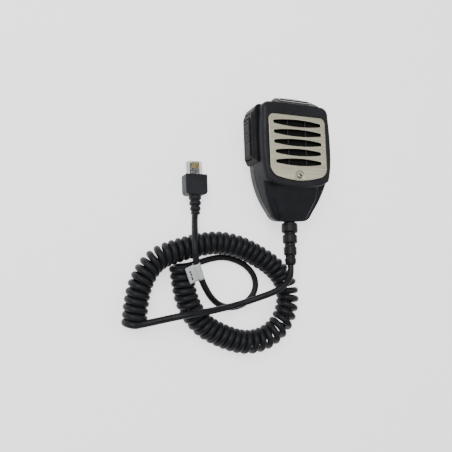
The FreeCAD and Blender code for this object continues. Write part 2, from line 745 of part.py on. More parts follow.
def make_talk_bar():
    """The push-to-talk bar: grooved face, hidden pivot lug and the boss that works the switch."""
    face, inner = -S.bar_x, -S.bar_x + S.bar_depth
    lug_face = -S.bar_x + 2.6
    loop = [(face + 3.2, -S.bar_low, (face + 1.0, -S.bar_low + 1.2)), (face, -S.bar_low + 3.4)]
    for groove in TALK_GROOVES:
        loop += [(face, groove - 0.7), (face + 0.9, groove), (face, groove + 0.7)]
    loop += [(face, S.bar_high - 2.4, (face + 0.5, S.bar_high - 0.8)), (face + 1.8, S.bar_high),
             (lug_face, S.bar_high),
             (lug_face, S.pivot_y + 2.1), (inner, S.pivot_y + 2.1),
             (inner, -S.plunger_y + 1.7), (inner + 2.0, -S.plunger_y + 1.7),
             (inner + 2.0, -S.plunger_y - 1.7),
             (inner, -S.plunger_y - 1.7), (inner, -S.bar_low)]
    bar = prism("talk_bar_block", [loop], S.bar_width, (0, 0, S.parting_z - S.bar_width / 2))
    hole = cylinder("talk_bar_hole", S.pivot_r + S.running, FAR, (-S.pivot_x, S.pivot_y, 0))
    return piece("talk_bar", cut("talk_bar", bar, hole))


def make_pivot_pin():
    """The talk bar's pivot pin."""
    return piece("pivot_pin", cylinder("pivot_pin", S.pivot_r, S.bar_width + 5.0,
                                       (-S.pivot_x, S.pivot_y, S.parting_z - S.bar_width / 2 - 2.5)))


SWITCH_FACE = -S.bar_x + S.bar_depth + 4.0
PLUNGER_TIP = -S.bar_x + S.bar_depth + 2.0 + 0.15


def make_switch():
    """The talk switch on the board and its plunger."""
    body = block("switch_block", (SWITCH_FACE, -S.plunger_y - 6.4, BOARD_TOP),
                 (SWITCH_FACE + 6.4, -S.plunger_y + 6.4, S.parting_z + 3.3))
    bore = cylinder("switch_bore", S.plunger_r + S.running, 3.6,
                    (SWITCH_FACE - 0.1, -S.plunger_y, S.parting_z), "+X")
    piece("talk_switch", cut("talk_switch", body, bore))
    piece("switch_plunger", cylinder("switch_plunger", S.plunger_r, 4.0,
                                     (PLUNGER_TIP, -S.plunger_y, S.parting_z),
                                     "+X"))


# ---------------------------------------------------------------- hang-up stud

def make_stud():
    """The hang-up stud on the back and the screw that holds it from inside."""
    neck = [(1.5, 1.2), (0, 1.2), (0, 0), (S.stud_head_r, 0), (S.stud_head_r, S.stud_head),
            (S.stud_neck_r, S.stud_head + 0.9), (S.stud_neck_r, S.back_z), (1.5, S.back_z)]
    piece("hang_up_stud", turned("hang_up_stud", neck))
    head_z = S.back_z + S.wall + 3.0
    head = cylinder("stud_screw_head", 2.8, 1.8, (0, 0, head_z))
    shank = cylinder("stud_screw_shank", 1.5, head_z - 1.2, (0, 0, 1.2))
    cross = block("stud_screw_slot", (-1.8, -0.4, head_z + 1.0), (1.8, 0.4, head_z + 3.0))
    piece("stud_screw", cut("stud_screw", fuse("stud_screw_body", head, shank), cross))


# ---------------------------------------------------------------- loudspeaker and capsule

def make_loudspeaker():
    """The loudspeaker: frame, surround, cone, coil, cap, magnet, plates and terminals."""
    mesh_low = INNER_Z - 0.4
    piece("dust_mesh", block("dust_mesh", (-23.6, -S.speaker_r, mesh_low), (23.6, S.speaker_r, INNER_Z)))
    outer, cone = S.speaker_r, S.cone_r
    base = mesh_low - 7.0
    frame = [(11.4, base - 1.7), (12.6, base - 1.7), (12.6, base + 0.4), (outer, mesh_low - 1.8),
             (outer, mesh_low),
             (cone + 2.6, mesh_low), (cone + 2.6, mesh_low - 0.9), (cone + 1.2, mesh_low - 0.9),
             (cone + 1.2, mesh_low - 2.0), (11.4, base + 1.2)]
    piece("speaker_frame", turned("speaker_frame", frame))
    piece("speaker_surround", ring("speaker_surround", cone + 0.2, cone + 2.6, mesh_low - 0.9,
                                   mesh_low - 0.3))
    coil_in, coil_out = S.coil_r - 0.25, S.coil_r + 0.25
    slope = [(coil_out, mesh_low - 4.4), (cone, mesh_low - 1.3), (cone, mesh_low - 0.9),
             (coil_out, mesh_low - 4.0)]
    piece("speaker_cone", turned("speaker_cone", slope))
    piece("voice_coil", ring("voice_coil", coil_in, coil_out, base - 4.6, mesh_low - 3.9))
    cap = [(0, mesh_low - 3.9), (coil_out, mesh_low - 3.9), (4.9, mesh_low - 3.1), (2.6, mesh_low - 2.55),
           (0, mesh_low - 2.35)]
    piece("dust_cap", turned("dust_cap", cap))
    piece("top_plate", ring("top_plate", S.coil_r + 0.6, 11.4, base - 1.7, base))
    piece("speaker_magnet", ring("speaker_magnet", S.coil_r + 1.4, 10.8, base - 5.2, base - 1.7))
    yoke = [(0, base - 6.5), (11.4, base - 6.5), (11.4, base - 5.2), (S.coil_r - 0.6, base - 5.2),
            (S.coil_r - 0.6, base), (0, base)]
    piece("speaker_yoke", turned("speaker_yoke", yoke))
    tab_low, tab_high = base - 0.6, base + 0.4
    tab = block("terminal_block", (-5.0, -17.4, tab_low), (5.0, -11.0, tab_high))
    piece("speaker_terminals", cut("speaker_terminals", tab, cylinder("terminal_seat", 12.6, FAR, (0, 0, 0))))
    wires = [cylinder(f"speaker_wire_{side}", 0.55, tab_low - BOARD_TOP, (side * 3.2, -15.6, BOARD_TOP))
             for side in (-1, 1)]
    piece("speaker_wires", fuse("speaker_wires", *wires))


CAPSULE_AT = (18.6, -19.4)


def make_capsule():
    """The electret capsule in its rubber holder, behind the end of the lowest slot."""
    x, y = CAPSULE_AT
    top = INNER_Z - 0.4
    piece("mic_holder", ring("mic_holder", 4.85, 6.1, top - 6.2, top, (x, y, 0)))
    piece("mic_capsule", cylinder("mic_capsule", 4.85, 5.0, (x, y, top - 5.4)))
    wires = [cylinder(f"capsule_wire_{i}", 0.45, top - 5.4 - BOARD_TOP,
                      (x + i * 1.3, y, BOARD_TOP)) for i in (-1, 1)]
    piece("capsule_wires", fuse("capsule_wires", *wires))


# ---------------------------------------------------------------- circuit board

def make_board():
    """The circuit board, its screws and the parts on it."""
    wide = S.body_half_width - 5.8
    loop = [(-wide, 20.8), (wide, 20.8), (wide, -24.0), (15.0, -43.0), (-15.0, -43.0), (-wide, -24.0)]
    holes = [circle_loop(x, y, 1.1) for x, y in BOARD_POSTS]
    piece("circuit_board", plate("circuit_board", [loop, *holes], S.board_thick, (0, 0, S.board_z)))
    screws = []
    for i, (x, y) in enumerate(BOARD_POSTS):
        head = cylinder(f"board_screw_head_{i}", 1.9, 1.3, (x, y, BOARD_TOP))
        shank = cylinder(f"board_screw_shank_{i}", 1.0, BOARD_TOP - S.board_z + 4.6, (x, y, S.board_z - 4.6))
        slot = block(f"board_screw_slot_{i}", (x - 1.2, y - 0.25, BOARD_TOP + 0.7),
                     (x + 1.2, y + 0.25, BOARD_TOP + 2))
        screws.append(cut(f"board_screw_{i}", fuse(f"board_screw_body_{i}", head, shank), slot))
    piece("board_screws", fuse("board_screws", *screws))
    header = block("header_block", (-6.0, -42.0, BOARD_TOP), (6.0, -37.4, BOARD_TOP + 6.0))
    hollow = block("header_hollow", (-5.0, -41.2, BOARD_TOP + 1.2), (5.0, -38.2, BOARD_TOP + 7.0))
    piece("cord_header", cut("cord_header", header, hollow))
    cans = [turned(f"capacitor_{i}", [(0, 0), (2.5, 0), (2.5, 5.4), (2.1, 5.8), (0, 5.8)],
                   (x, -27.0, BOARD_TOP))
            for i, x in enumerate((-14.0, -7.6))]
    piece("capacitors", fuse("capacitors", *cans))
    chip = block("chip_body", (1.0, -31.0, BOARD_TOP + 0.2), (10.0, -25.0, BOARD_TOP + 1.7))
    legs = [block(f"chip_leg_{side}_{i}", (1.7 + i * 1.27, -28 + side * 3.9 - 0.9, BOARD_TOP),
                  (2.1 + i * 1.27, -28 + side * 3.9 + 0.9, BOARD_TOP + 0.6))
            for side in (-1, 1) for i in range(7)]
    piece("audio_chip", fuse("audio_chip", chip, *legs))


# ---------------------------------------------------------------- cord exit

def along_boot(distance):
    """A point on the boot's axis, a distance outside the case."""
    turn = boot_axis_turn()
    start = Vector(0, -S.bottom_y.value, S.exit_z.value)
    return start + turn.multVec(Vector(0, 0, as_size(distance).value))


INNER_REACH = 14.4


def make_cable_boot():
    """The ringed, tapering boot, the cord inside it, the clamp and the inner wires."""
    inner = S.cord_r
    profile = [(inner, -5.2), (6.4, -5.2), (6.4, -S.wall - 1.3), (4.8, -S.wall - 1.3), (4.8, 1.2), (6.7, 1.2),
               (6.7, 8.4), (6.2, 9.0), (4.6, 9.4), (4.6, 11.4), (5.95, 11.8), (5.95, 18.0), (4.35, 18.6),
               (4.35, 21.6),
               (5.2, 22.0), (5.2, 28.2), (3.95, 28.8), (3.95, 31.4), (4.5, 31.8), (4.4, 35.0),
               (3.5, S.boot_length),
               (inner, S.boot_length)]
    piece("cable_boot", turned("cable_boot", profile, EXIT, boot_axis_turn()))
    stub = turned("cord_inner", [(0, -INNER_REACH), (inner, -INNER_REACH), (inner, S.boot_length),
                                 (0, S.boot_length)],
                  EXIT, boot_axis_turn())
    piece("cord_inner", stub)
    low, high = S.exit_z - 1.2, S.exit_z + 4.0
    bar = block("clamp_block", (-CLAMP_X - 2.4, -CLAMP_Y - 2.2, low), (CLAMP_X + 2.4, -CLAMP_Y + 2.2, high))
    saddle = block("clamp_saddle", (-1.9, -CLAMP_Y - 3.0, low - 1.0), (3.5, -CLAMP_Y + 3.0, S.exit_z - 0.4))
    channel = turned("clamp_channel", [(0, -20.0), (inner, -20.0), (inner, 0), (0, 0)], EXIT,
                     boot_axis_turn())
    holes = [cylinder(f"clamp_hole_{side}", 1.0, FAR, (side * CLAMP_X, -CLAMP_Y, 0)) for side in (-1, 1)]
    piece("cord_clamp", cut("cord_clamp", bar, saddle, channel, *holes))
    screws = []
    for side in (-1, 1):
        head = cylinder(f"clamp_screw_head_{side}", 1.8, 1.2, (side * CLAMP_X, -CLAMP_Y, high))
        shank = cylinder(f"clamp_screw_shank_{side}", 0.9, high - S.exit_z + 6.0,
                         (side * CLAMP_X, -CLAMP_Y, S.exit_z - 6.0))
        screws.append(fuse(f"clamp_screw_{side}", head, shank))
    piece("clamp_screws", fuse("clamp_screws", *screws))
    make_inner_wires()


def make_inner_wires():
    """Four wires from the cord's inner end to the header on the board."""
    end = along_boot(-INNER_REACH)
    wires = []
    for i, (dx, dz) in enumerate(((-0.9, 0.9), (-0.9, -0.9), (0.9, -0.9), (0.9, 0.9))):
        start = Vector(end.x + dx, end.y, end.z + dz)
        stop = Vector(-3.6 + 2.4 * i, -42.35, BOARD_TOP.value + 2.9)
        way = stop - start
        shape = Part.makeCylinder(0.55, way.Length + 0.4, start - way.normalize() * 0.4, way)
        wires.append(fixed_shape(f"inner_wire_{i}", shape))
    wires = cut("inner_wires", fuse("inner_wire_group", *wires),
                turned("inner_wire_trim", [(0, -INNER_REACH), (S.cord_r, -INNER_REACH), (S.cord_r, 0),
                                           (0, 0)], EXIT,
                       boot_axis_turn()))
    piece("inner_wires", wires)


# ---------------------------------------------------------------- cord

LEAD_ROUTE = [
    (-3.9, -107.4, 21.6), (-7.6, -113.4, 23.8), (-14.0, -118.6, 25.0), (-22.4, -122.6, 23.4),
    (-31.6, -126.0, 19.0),
    (-41.6, -129.3, 14.6), (-52.6, -131.9, 12.6), (-64.4, -133.2, 14.2), (-75.6, -133.6, 19.0),
    (-86.0, -133.6, 23.8), (-96.6, -134.0, 25.0), (-106.8, -135.4, 22.4), (-116.8, -137.3, 18.6),
    (-127.4, -139.0, 15.9),
]
COIL_ROUTE = [
    (-133.6, -142.0), (-132.2, -125.5), (-127.8, -107.5), (-117.0, -91.8), (-100.0, -86.0), (-83.0, -82.0),
    (-65.5, -79.9), (-47.5, -83.2), (-30.5, -91.6), (-14.0, -102.0), (-2.8, -116.5), (-1.6, -133.5),
    (-9.2, -151.0),
    (-25.5, -161.8), (-45.0, -163.0), (-64.0, -155.6), (-81.2, -145.0), (-91.2, -129.5), (-95.2, -112.5),
    (-96.6, -96.0),
]
TAIL_ROUTE = [
    (-90.0, -98.6, 2.6), (-80.0, -96.4, 2.6), (-69.0, -93.4, 2.6), (-57.8, -92.2, 2.6), (-46.8, -95.0, 2.6),
    (-37.2, -100.2, 2.6), (-30.4, -107.6, 2.6), (-27.9, -116.4, 2.6), (-30.4, -124.8, 2.6),
    (-36.9, -131.0, 2.6),
    (-45.6, -134.6, 2.6), (-55.0, -134.6, 2.8), (-64.0, -131.2, 4.6), (-71.6, -124.6, 8.6),
    (-77.6, -116.0, 13.6),
    (-82.2, -106.8, 18.2), (-85.2, -97.6, 21.6), (-87.8, -88.4, 23.6), (-88.9, -79.4, 22.8),
    (-88.3, -71.6, 18.2),
    (-86.5, -64.8, 12.6), (-84.1, -59.4, 8.8), (-82.3, -55.0, 7.0),
]


def path_wire(points):
    """Straight runs joined by tangent arcs, each arc as large as its two runs allow."""
    edges = []
    radii = []
    here = points[0]
    for before, corner, after in zip(points, points[1:], points[2:]):
        first, second = corner - before, after - corner
        half_turn = first.getAngle(second) / 2
        reach = 0.45 * min(first.Length, second.Length)
        radii.append(reach / math.tan(half_turn))
        enter = corner - Vector(first).normalize() * reach
        leave = corner + Vector(second).normalize() * reach
        towards = (enter + leave) / 2 - corner
        middle = corner + towards.normalize() * (radii[-1] / math.cos(half_turn) - radii[-1])
        edges.append(Part.LineSegment(here, enter).toShape())
        edges.append(Part.Arc(enter, middle, leave).toShape())
        here = leave
    edges.append(Part.LineSegment(here, points[-1]).toShape())
    return Part.Wire(edges), radii


def cord_tube(node, points, radius):
    """A plain tube along a route, with its volume compared with its section times its length."""
    wire, radii = path_wire(points)
    start = points[1] - points[0]
    circle = Part.Wire([Part.makeCircle(radius, points[0], start)])
    shape = wire.makePipeShell([circle], True, True)
    expected = math.pi * radius ** 2 * wire.Length
    print(f"{node}: length {wire.Length:.1f}, smallest radius {min(radii):.1f}, "
          f"volume ratio {shape.Volume / expected:.4f}")
    return piece(node, fixed_shape(node, shape))


def make_cord():
    """The lead from the boot, the curly stretch and the tail to the plug."""
    cord_r, curl_r = S.cord_r.value, S.curl_r.value
    lead = [along_boot(S.boot_length)] + [Vector(*point) for point in LEAD_ROUTE]
    cord_tube("cord_lead", lead, cord_r)
    cord_tube("cord_coil", [Vector(x, y, curl_r) for x, y in COIL_ROUTE], curl_r)
    cord_tube("cord_tail", [Vector(*point) for point in TAIL_ROUTE], cord_r)


TAG_RUN = (15, 16)
TAG_LENGTH = 14.0
TAG_WIDTH = 13.0
TAG_THICK = 0.5


def make_tag():
    """A plain tag folded round the tail, its flag lying towards the curly stretch."""
    low, high = (Vector(*TAIL_ROUTE[i]) for i in TAG_RUN)
    middle = (low + high) / 2
    along = (high - low).normalize()
    start = middle - along * (TAG_LENGTH / 2)
    sleeve = Part.makeCylinder(S.cord_r.value + TAG_THICK, TAG_LENGTH, start, along)
    out = Vector(-1, -0.27, 0.2)
    out = (out - along * out.dot(along)).normalize()
    up = along.cross(out).normalize()
    corner = start + up * (-TAG_THICK / 2) + out * 1.0
    flag = Part.makePolygon([corner, corner + out * TAG_WIDTH, corner + out * TAG_WIDTH + along * TAG_LENGTH,
                             corner + along * TAG_LENGTH, corner])
    flag = Part.Face(flag).extrude(up * TAG_THICK)
    piece("label_tag", fixed_shape("label_tag", sleeve.fuse(flag).removeSplitter()))


# ---------------------------------------------------------------- modular plug

PLUG_X = -S.plug_x
PLUG_FRONT = -S.plug_y + S.modular_length
HOUSING_BACK = -S.plug_y - 10.0
BODY_LOW = S.plug_z - S.modular_height / 2
BODY_HIGH = S.plug_z + S.modular_height / 2
CONTACT_DEPTH = 2.6
WIRE_R = 0.42
WIRE_Z = BODY_HIGH - CONTACT_DEPTH - WIRE_R
CONDUCTORS = ("brown", "yellow", "green", "red", "black", "blue", "white", "orange")


def contact_x(i):
    """The place of one contact across the plug."""
    return PLUG_X + S.contact_pitch * (i - 3.5)


def make_plug():
    """The clear housing with its contacts, conductors and latch."""
    half = S.modular_width / 2
    shell = block("housing_block", (PLUG_X - half, HOUSING_BACK, BODY_LOW),
                  (PLUG_X + half, PLUG_FRONT, BODY_HIGH))
    slots = [block(f"contact_slot_{i}", (contact_x(i) - 0.2, PLUG_FRONT - 6.2, BODY_HIGH - CONTACT_DEPTH),
                   (contact_x(i) + 0.2, PLUG_FRONT + 1.0, BODY_HIGH + 1.0)) for i in range(8)]
    duct = block("wire_duct", (PLUG_X - S.contact_pitch * 4.3, HOUSING_BACK - 1.0, WIRE_Z - WIRE_R),
                 (PLUG_X + S.contact_pitch * 4.3, PLUG_FRONT - 1.4, WIRE_Z + WIRE_R))
    throat = block("wire_throat", (PLUG_X - half + 1.2, HOUSING_BACK - 1.0, BODY_LOW + 1.0),
                   (PLUG_X + half - 1.2, PLUG_FRONT - 12.0, BODY_HIGH - 1.0))
    piece("plug_housing", cut("plug_housing", shell, duct, throat, *slots))
    blades = [block(f"contact_{i}", (contact_x(i) - 0.2, PLUG_FRONT - 6.0, BODY_HIGH - CONTACT_DEPTH),
                    (contact_x(i) + 0.2, PLUG_FRONT - 0.7, BODY_HIGH - 0.3)) for i in range(8)]
    piece("plug_contacts", fuse("plug_contacts", *blades))
    for i, colour in enumerate(CONDUCTORS):
        wire = cylinder(f"conductor_{colour}", WIRE_R, PLUG_FRONT - 1.6 - (HOUSING_BACK - 2.0),
                        (contact_x(i), HOUSING_BACK - 2.0, WIRE_Z), "+Y")
        piece(f"conductor_{colour}", wire)
    make_latch()
    make_plug_boot()


LATCH_GAP = 0.15
LATCH_R = 0.5


def make_latch():
    """The sprung latch under the housing, hinged about its round nose."""
    top = BODY_LOW - LATCH_GAP
    nose = PLUG_FRONT - 0.3
    loop = [(nose - LATCH_R, top, (nose, top - LATCH_R)), (nose - LATCH_R, top - 2 * LATCH_R),
            (nose - 1.0, top - 1.3), (nose - 14.0, 0.55), (nose - 14.0, 1.55), (nose - 1.6, top - 0.3),
            (nose - 1.4, top)]
    wide = prism("latch_wide", [loop], 6.2, (PLUG_X - 3.1, 0, 0), SIDE)
    tab = block("latch_tab_zone", (PLUG_X - 1.6, nose - 20.0, 0.2), (PLUG_X + 1.6, nose - 9.0, BODY_LOW))
    front = block("latch_front_zone", (PLUG_X - 3.2, nose - 9.0, 0.2), (PLUG_X + 3.2, nose + 1.0, BODY_LOW))
    piece("plug_latch", common("plug_latch", wide, fuse("latch_zones", tab, front)))


def make_plug_boot():
    """The plug's boot: a shouldered sleeve and a ribbed relief around the cord."""
    half_w, half_h = S.sleeve_width / 2, S.sleeve_height / 2
    back = -S.plug_y - S.sleeve_length
    loop = [(PLUG_X - half_w, -S.plug_y), (PLUG_X - half_w, back + 2.6, (PLUG_X - half_w + 0.9, back + 0.8)),
            (PLUG_X - half_w + 2.8, back), (PLUG_X + half_w - 2.8, back, (PLUG_X + half_w - 0.9, back + 0.8)),
            (PLUG_X + half_w, back + 2.6), (PLUG_X + half_w, -S.plug_y)]
    sleeve = prism("sleeve_block", [loop], S.sleeve_height, (0, 0, S.plug_z - half_h))
    length = S.relief_length
    profile = [(0, -1.0), (5.1, -1.0), (5.1, 3.4), (3.9, 3.8), (3.9, 4.8), (4.9, 5.2), (4.9, 7.8), (3.6, 8.2),
               (3.6, 9.4), (4.4, 9.8), (4.4, 12.2), (3.4, 12.6), (3.4, 13.6), (3.9, 13.9), (3.7, length),
               (0, length)]
    relief = turned("relief", profile, (PLUG_X, back, S.plug_z), ALONG["-Y"])
    solid = fuse("plug_boot_solid", sleeve, relief)
    half = S.modular_width / 2
    seat = block("housing_seat", (PLUG_X - half, HOUSING_BACK, BODY_LOW), (PLUG_X + half, FAR, BODY_HIGH))
    pocket = block("wire_pocket", (PLUG_X - S.contact_pitch * 4.3, HOUSING_BACK - 2.0, WIRE_Z - WIRE_R),
                   (PLUG_X + S.contact_pitch * 4.3, FAR, WIRE_Z + WIRE_R))
    notch = block("latch_notch", (PLUG_X - 2.4, -S.plug_y - 5.0, -1.0), (PLUG_X + 2.4, FAR, BODY_LOW + 1.0))
    piece("plug_boot", cut("plug_boot", solid, seat, pocket, notch))


# ---------------------------------------------------------------- build and write

def make_all():
    """Every sub-part, from the case to the plug."""
    make_front_cover()
    make_rear_cover()
    make_seal()
    make_case_screws()
    make_grille()
    make_grille_screw()
    make_top_trim()
    make_talk_rim()
    make_talk_bar()
    make_pivot_pin()
    make_switch()
    make_stud()
    make_loudspeaker()
    make_capsule()
    make_board()
    make_cable_boot()
    make_cord()
    make_tag()
    make_plug()


def check_and_write():
    """Recompute, refuse any failed object or shape, then write one STEP file for each node."""
    doc.recompute()
    failed = [thing.Name for thing in doc.Objects if {"Invalid", "Error"} & set(thing.State)]
    if failed:
        raise RuntimeError(f"failed objects: {failed}")
    for node, thing in pieces.items():
        shape = thing.Shape
        if shape.isNull() or not shape.isValid() or not shape.Solids:
            raise RuntimeError(f"{node} has no valid solid")
    os.makedirs("parts", exist_ok=True)
    for node, thing in pieces.items():
        thing.Shape.exportStep(f"parts/{node}.step")
    print(f"{len(pieces)} nodes written")


make_all()
check_and_write()
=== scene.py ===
import json
import math

import bpy
from mathutils import Matrix, Vector


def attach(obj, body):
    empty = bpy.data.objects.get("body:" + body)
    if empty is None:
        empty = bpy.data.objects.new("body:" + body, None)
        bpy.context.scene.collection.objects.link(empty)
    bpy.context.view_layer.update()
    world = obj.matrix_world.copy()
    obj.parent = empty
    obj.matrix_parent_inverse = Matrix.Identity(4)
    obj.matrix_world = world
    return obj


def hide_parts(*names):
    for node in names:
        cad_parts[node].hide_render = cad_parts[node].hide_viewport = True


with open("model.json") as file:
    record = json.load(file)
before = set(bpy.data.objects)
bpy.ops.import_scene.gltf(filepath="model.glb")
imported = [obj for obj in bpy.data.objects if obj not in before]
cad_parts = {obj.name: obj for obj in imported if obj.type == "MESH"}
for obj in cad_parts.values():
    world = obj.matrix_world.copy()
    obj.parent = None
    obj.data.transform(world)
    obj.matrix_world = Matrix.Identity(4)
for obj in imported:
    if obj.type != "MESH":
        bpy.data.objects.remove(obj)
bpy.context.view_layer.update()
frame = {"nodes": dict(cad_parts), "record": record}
NODES = frame["nodes"]
Z_UP = Vector((0, 0, 1))


# ---------------------------------------------------------------- camera

SENSOR_MM = 36.0
LENS_MM = 31.86
CAMERA_AT = Vector((-0.18282, -0.08942, 0.31479))
CAMERA_RIGHT = Vector((0.9247, -0.03579, 0.37901))
CAMERA_UP = Vector((0.00719, 0.99703, 0.07662))


def make_camera():
    """The camera at the photograph's place and angle."""
    data = bpy.data.cameras.new("camera")
    data.sensor_width = SENSOR_MM
    data.lens = LENS_MM
    camera = bpy.data.objects.new("camera", data)
    back = CAMERA_RIGHT.cross(CAMERA_UP)
    turn = Matrix((CAMERA_RIGHT, CAMERA_UP, back)).transposed()
    camera.matrix_world = Matrix.Translation(CAMERA_AT) @ turn.to_4x4()
    bpy.context.scene.collection.objects.link(camera)
    bpy.context.scene.camera = camera


make_camera()


# ---------------------------------------------------------------- materials

SHEEN = 0.17
METAL_SHEEN = 0.5


class Finish:
    """A node material under construction."""

    def __init__(self, name, colour, rough, metallic=0.0):
        self.material = bpy.data.materials.new(name)
        self.material.use_nodes = True
        self.tree = self.material.node_tree
        self.shader = next(n for n in self.tree.nodes if n.type == "BSDF_PRINCIPLED")
        self.set("Base Color", (*colour, 1))
        self.set("Roughness", rough)
        self.set("Metallic", metallic)
        self.set("Specular IOR Level", SHEEN)
        self.where = self.node("ShaderNodeTexCoord").outputs["Object"]
        self.bumps = []

    def set(self, socket, value):
        """Set one of the shader's own sockets."""
        self.shader.inputs[socket].default_value = value

    def node(self, kind, **settings):
        """A new node with its settings."""
        made = self.tree.nodes.new(kind)
        for key, value in settings.items():
            setattr(made, key, value)
        return made

    def link(self, a, b):
        """Join an output to an input."""
        self.tree.links.new(a, b)

    def stretched(self, scale):
        """The object coordinates, stretched by a factor on each axis."""
        mapping = self.node("ShaderNodeMapping")
        mapping.inputs["Scale"].default_value = scale
        self.link(self.where, mapping.inputs["Vector"])
        return mapping.outputs["Vector"]

    def noise(self, scale, detail=3.0, stretch=None, rough=0.55):
        """Noise of a scale per metre."""
        noise = self.node("ShaderNodeTexNoise")
        noise.inputs["Scale"].default_value = scale
        noise.inputs["Detail"].default_value = detail
        noise.inputs["Roughness"].default_value = rough
        self.link(self.stretched(stretch) if stretch else self.where, noise.inputs["Vector"])
        return noise.outputs["Fac"]

    def ramp(self, value, low, high, start=0.3, stop=0.7):
        """A value mapped to a range."""
        ramp = self.node("ShaderNodeMapRange")
        ramp.inputs["From Min"].default_value = start
        ramp.inputs["From Max"].default_value = stop
        ramp.inputs["To Min"].default_value = low
        ramp.inputs["To Max"].default_value = high
        self.link(value, ramp.inputs["Value"])
        return ramp.outputs["Result"]

    def mottle(self, value, dark, light, start=0.3, stop=0.7):
        """Colour that follows a value from one shade to another."""
        ramp = self.node("ShaderNodeValToRGB")
        ramp.color_ramp.elements[0].position = start
        ramp.color_ramp.elements[0].color = (*dark, 1)
        ramp.color_ramp.elements[1].position = stop
        ramp.color_ramp.elements[1].color = (*light, 1)
        self.link(value, ramp.inputs["Fac"])
        self.link(ramp.outputs["Color"], self.shader.inputs["Base Color"])
        return self

    def roughen(self, value, low, high):
        """Roughness that follows a value."""
        self.link(self.ramp(value, low, high), self.shader.inputs["Roughness"])
        return self

    def painted_recess_shade(self, reach, shade):
        """Painted shade: the base colour darkened in recesses, where shade falls, by an ambient-occlusion
        mask.
        """
        corner = self.node("ShaderNodeAmbientOcclusion")
        corner.inputs["Distance"].default_value = reach
        dim = self.ramp(corner.outputs["AO"], shade, 1.0, 0.35, 0.95)
        joined = self.shader.inputs["Base Color"].links[0].from_socket
        scale = self.node("ShaderNodeVectorMath", operation="SCALE")
        self.link(joined, scale.inputs["Vector"])
        self.link(dim, scale.inputs["Scale"])
        self.link(scale.outputs["Vector"], self.shader.inputs["Base Color"])
        return self

    def bump(self, value, depth, strength=1.0):
        """Relief of a depth in metres, on top of any before it."""
        bump = self.node("ShaderNodeBump")
        bump.inputs["Strength"].default_value = strength
        bump.inputs["Distance"].default_value = depth
        self.link(value, bump.inputs["Height"])
        if self.bumps:
            self.link(self.bumps[-1], bump.inputs["Normal"])
        self.bumps.append(bump.outputs["Normal"])
        self.link(bump.outputs["Normal"], self.shader.inputs["Normal"])
        return self


def moulded(name, colour, rough, grain=2600, depth=0.00003, spread=0.25):
    """Moulded plastic or rubber with a fine spark-eroded grain and slight wear."""
    made = Finish(name, colour, rough)
    dark = tuple(c * (1 - spread) for c in colour)
    light = tuple(c * (1 + spread) for c in colour)
    made.mottle(made.noise(90, 4), dark, light)
    made.roughen(made.noise(220, 5), rough - 0.05, rough + 0.07)
    made.bump(made.noise(grain, 2), depth)
    return made


def metal(name, colour, rough, stretch=(1, 1, 1), scale=3000, depth=0.000008, spread=0.1):
    """Bare metal with fine lines or grain."""
    made = Finish(name, colour, rough, metallic=1.0)
    made.set("Specular IOR Level", METAL_SHEEN)
    lines = made.noise(scale, 4, stretch)
    dark = tuple(c * (1 - spread) for c in colour)
    light = tuple(min(c * (1 + spread), 1) for c in colour)
    made.mottle(lines, dark, light)
    made.roughen(made.noise(scale * 0.4, 3, stretch), rough - 0.04, rough + 0.08)
    made.bump(lines, depth)
    return made


def insulation(name, colour):
    """Glossy wire insulation."""
    return moulded(name, colour, 0.35, 1800, 0.000008, 0.1)


def paint(name, finish):
    """Give a CAD node its finish."""
    for slot in NODES[name].material_slots:
        slot.material = finish.material


CASE = moulded("case_moulding", (0.0135, 0.0145, 0.0175), 0.42)
RUBBER = moulded("bar_moulding", (0.0115, 0.012, 0.014), 0.48)
RUBBER.set("Specular IOR Level", 0.1)
JACKET = moulded("cord_jacket", (0.0125, 0.013, 0.0155), 0.42, 1500, 0.00001)
PLUG_RUBBER = moulded("plug_moulding", (0.017, 0.019, 0.022), 0.5)
STEEL = metal("plated_steel", (0.45, 0.45, 0.44), 0.32)
SCREW = metal("nickel_screw", (0.42, 0.41, 0.36), 0.36)
# Painted shade: the screw's cross recess and the edge of its head darkened in the colour.
SCREW.painted_recess_shade(0.0012, 0.12)
GRILLE = metal("brushed_nickel", (0.48, 0.455, 0.345), 0.36, (0.2, 6, 6), 180, 0.00003, 0.16)
# Painted shade: the grille's slot walls and screw notch darkened in the colour.
GRILLE.painted_recess_shade(0.0012, 0.5)
TRIM = metal("bright_trim", (0.36, 0.36, 0.34), 0.3)
INSERT = moulded("insert_gloss", (0.002, 0.002, 0.002), 0.6)
INSERT.set("Specular IOR Level", 0.0)
CLOTH = moulded("dust_cloth", (0.0035, 0.0035, 0.004), 0.85, 4200, 0.00008)
GOLD = metal("contact_gold", (0.60, 0.46, 0.18), 0.3)
PAPER = moulded("tag_paper", (0.62, 0.65, 0.64), 0.6, 1600, 0.00001, 0.04)
INK = moulded("tag_ink", (0.03, 0.03, 0.035), 0.7)
CLEAR = Finish("clear_moulding", (0.52, 0.55, 0.58), 0.1)
CLEAR.set("Transmission Weight", 1.0)
CLEAR.set("IOR", 1.5)

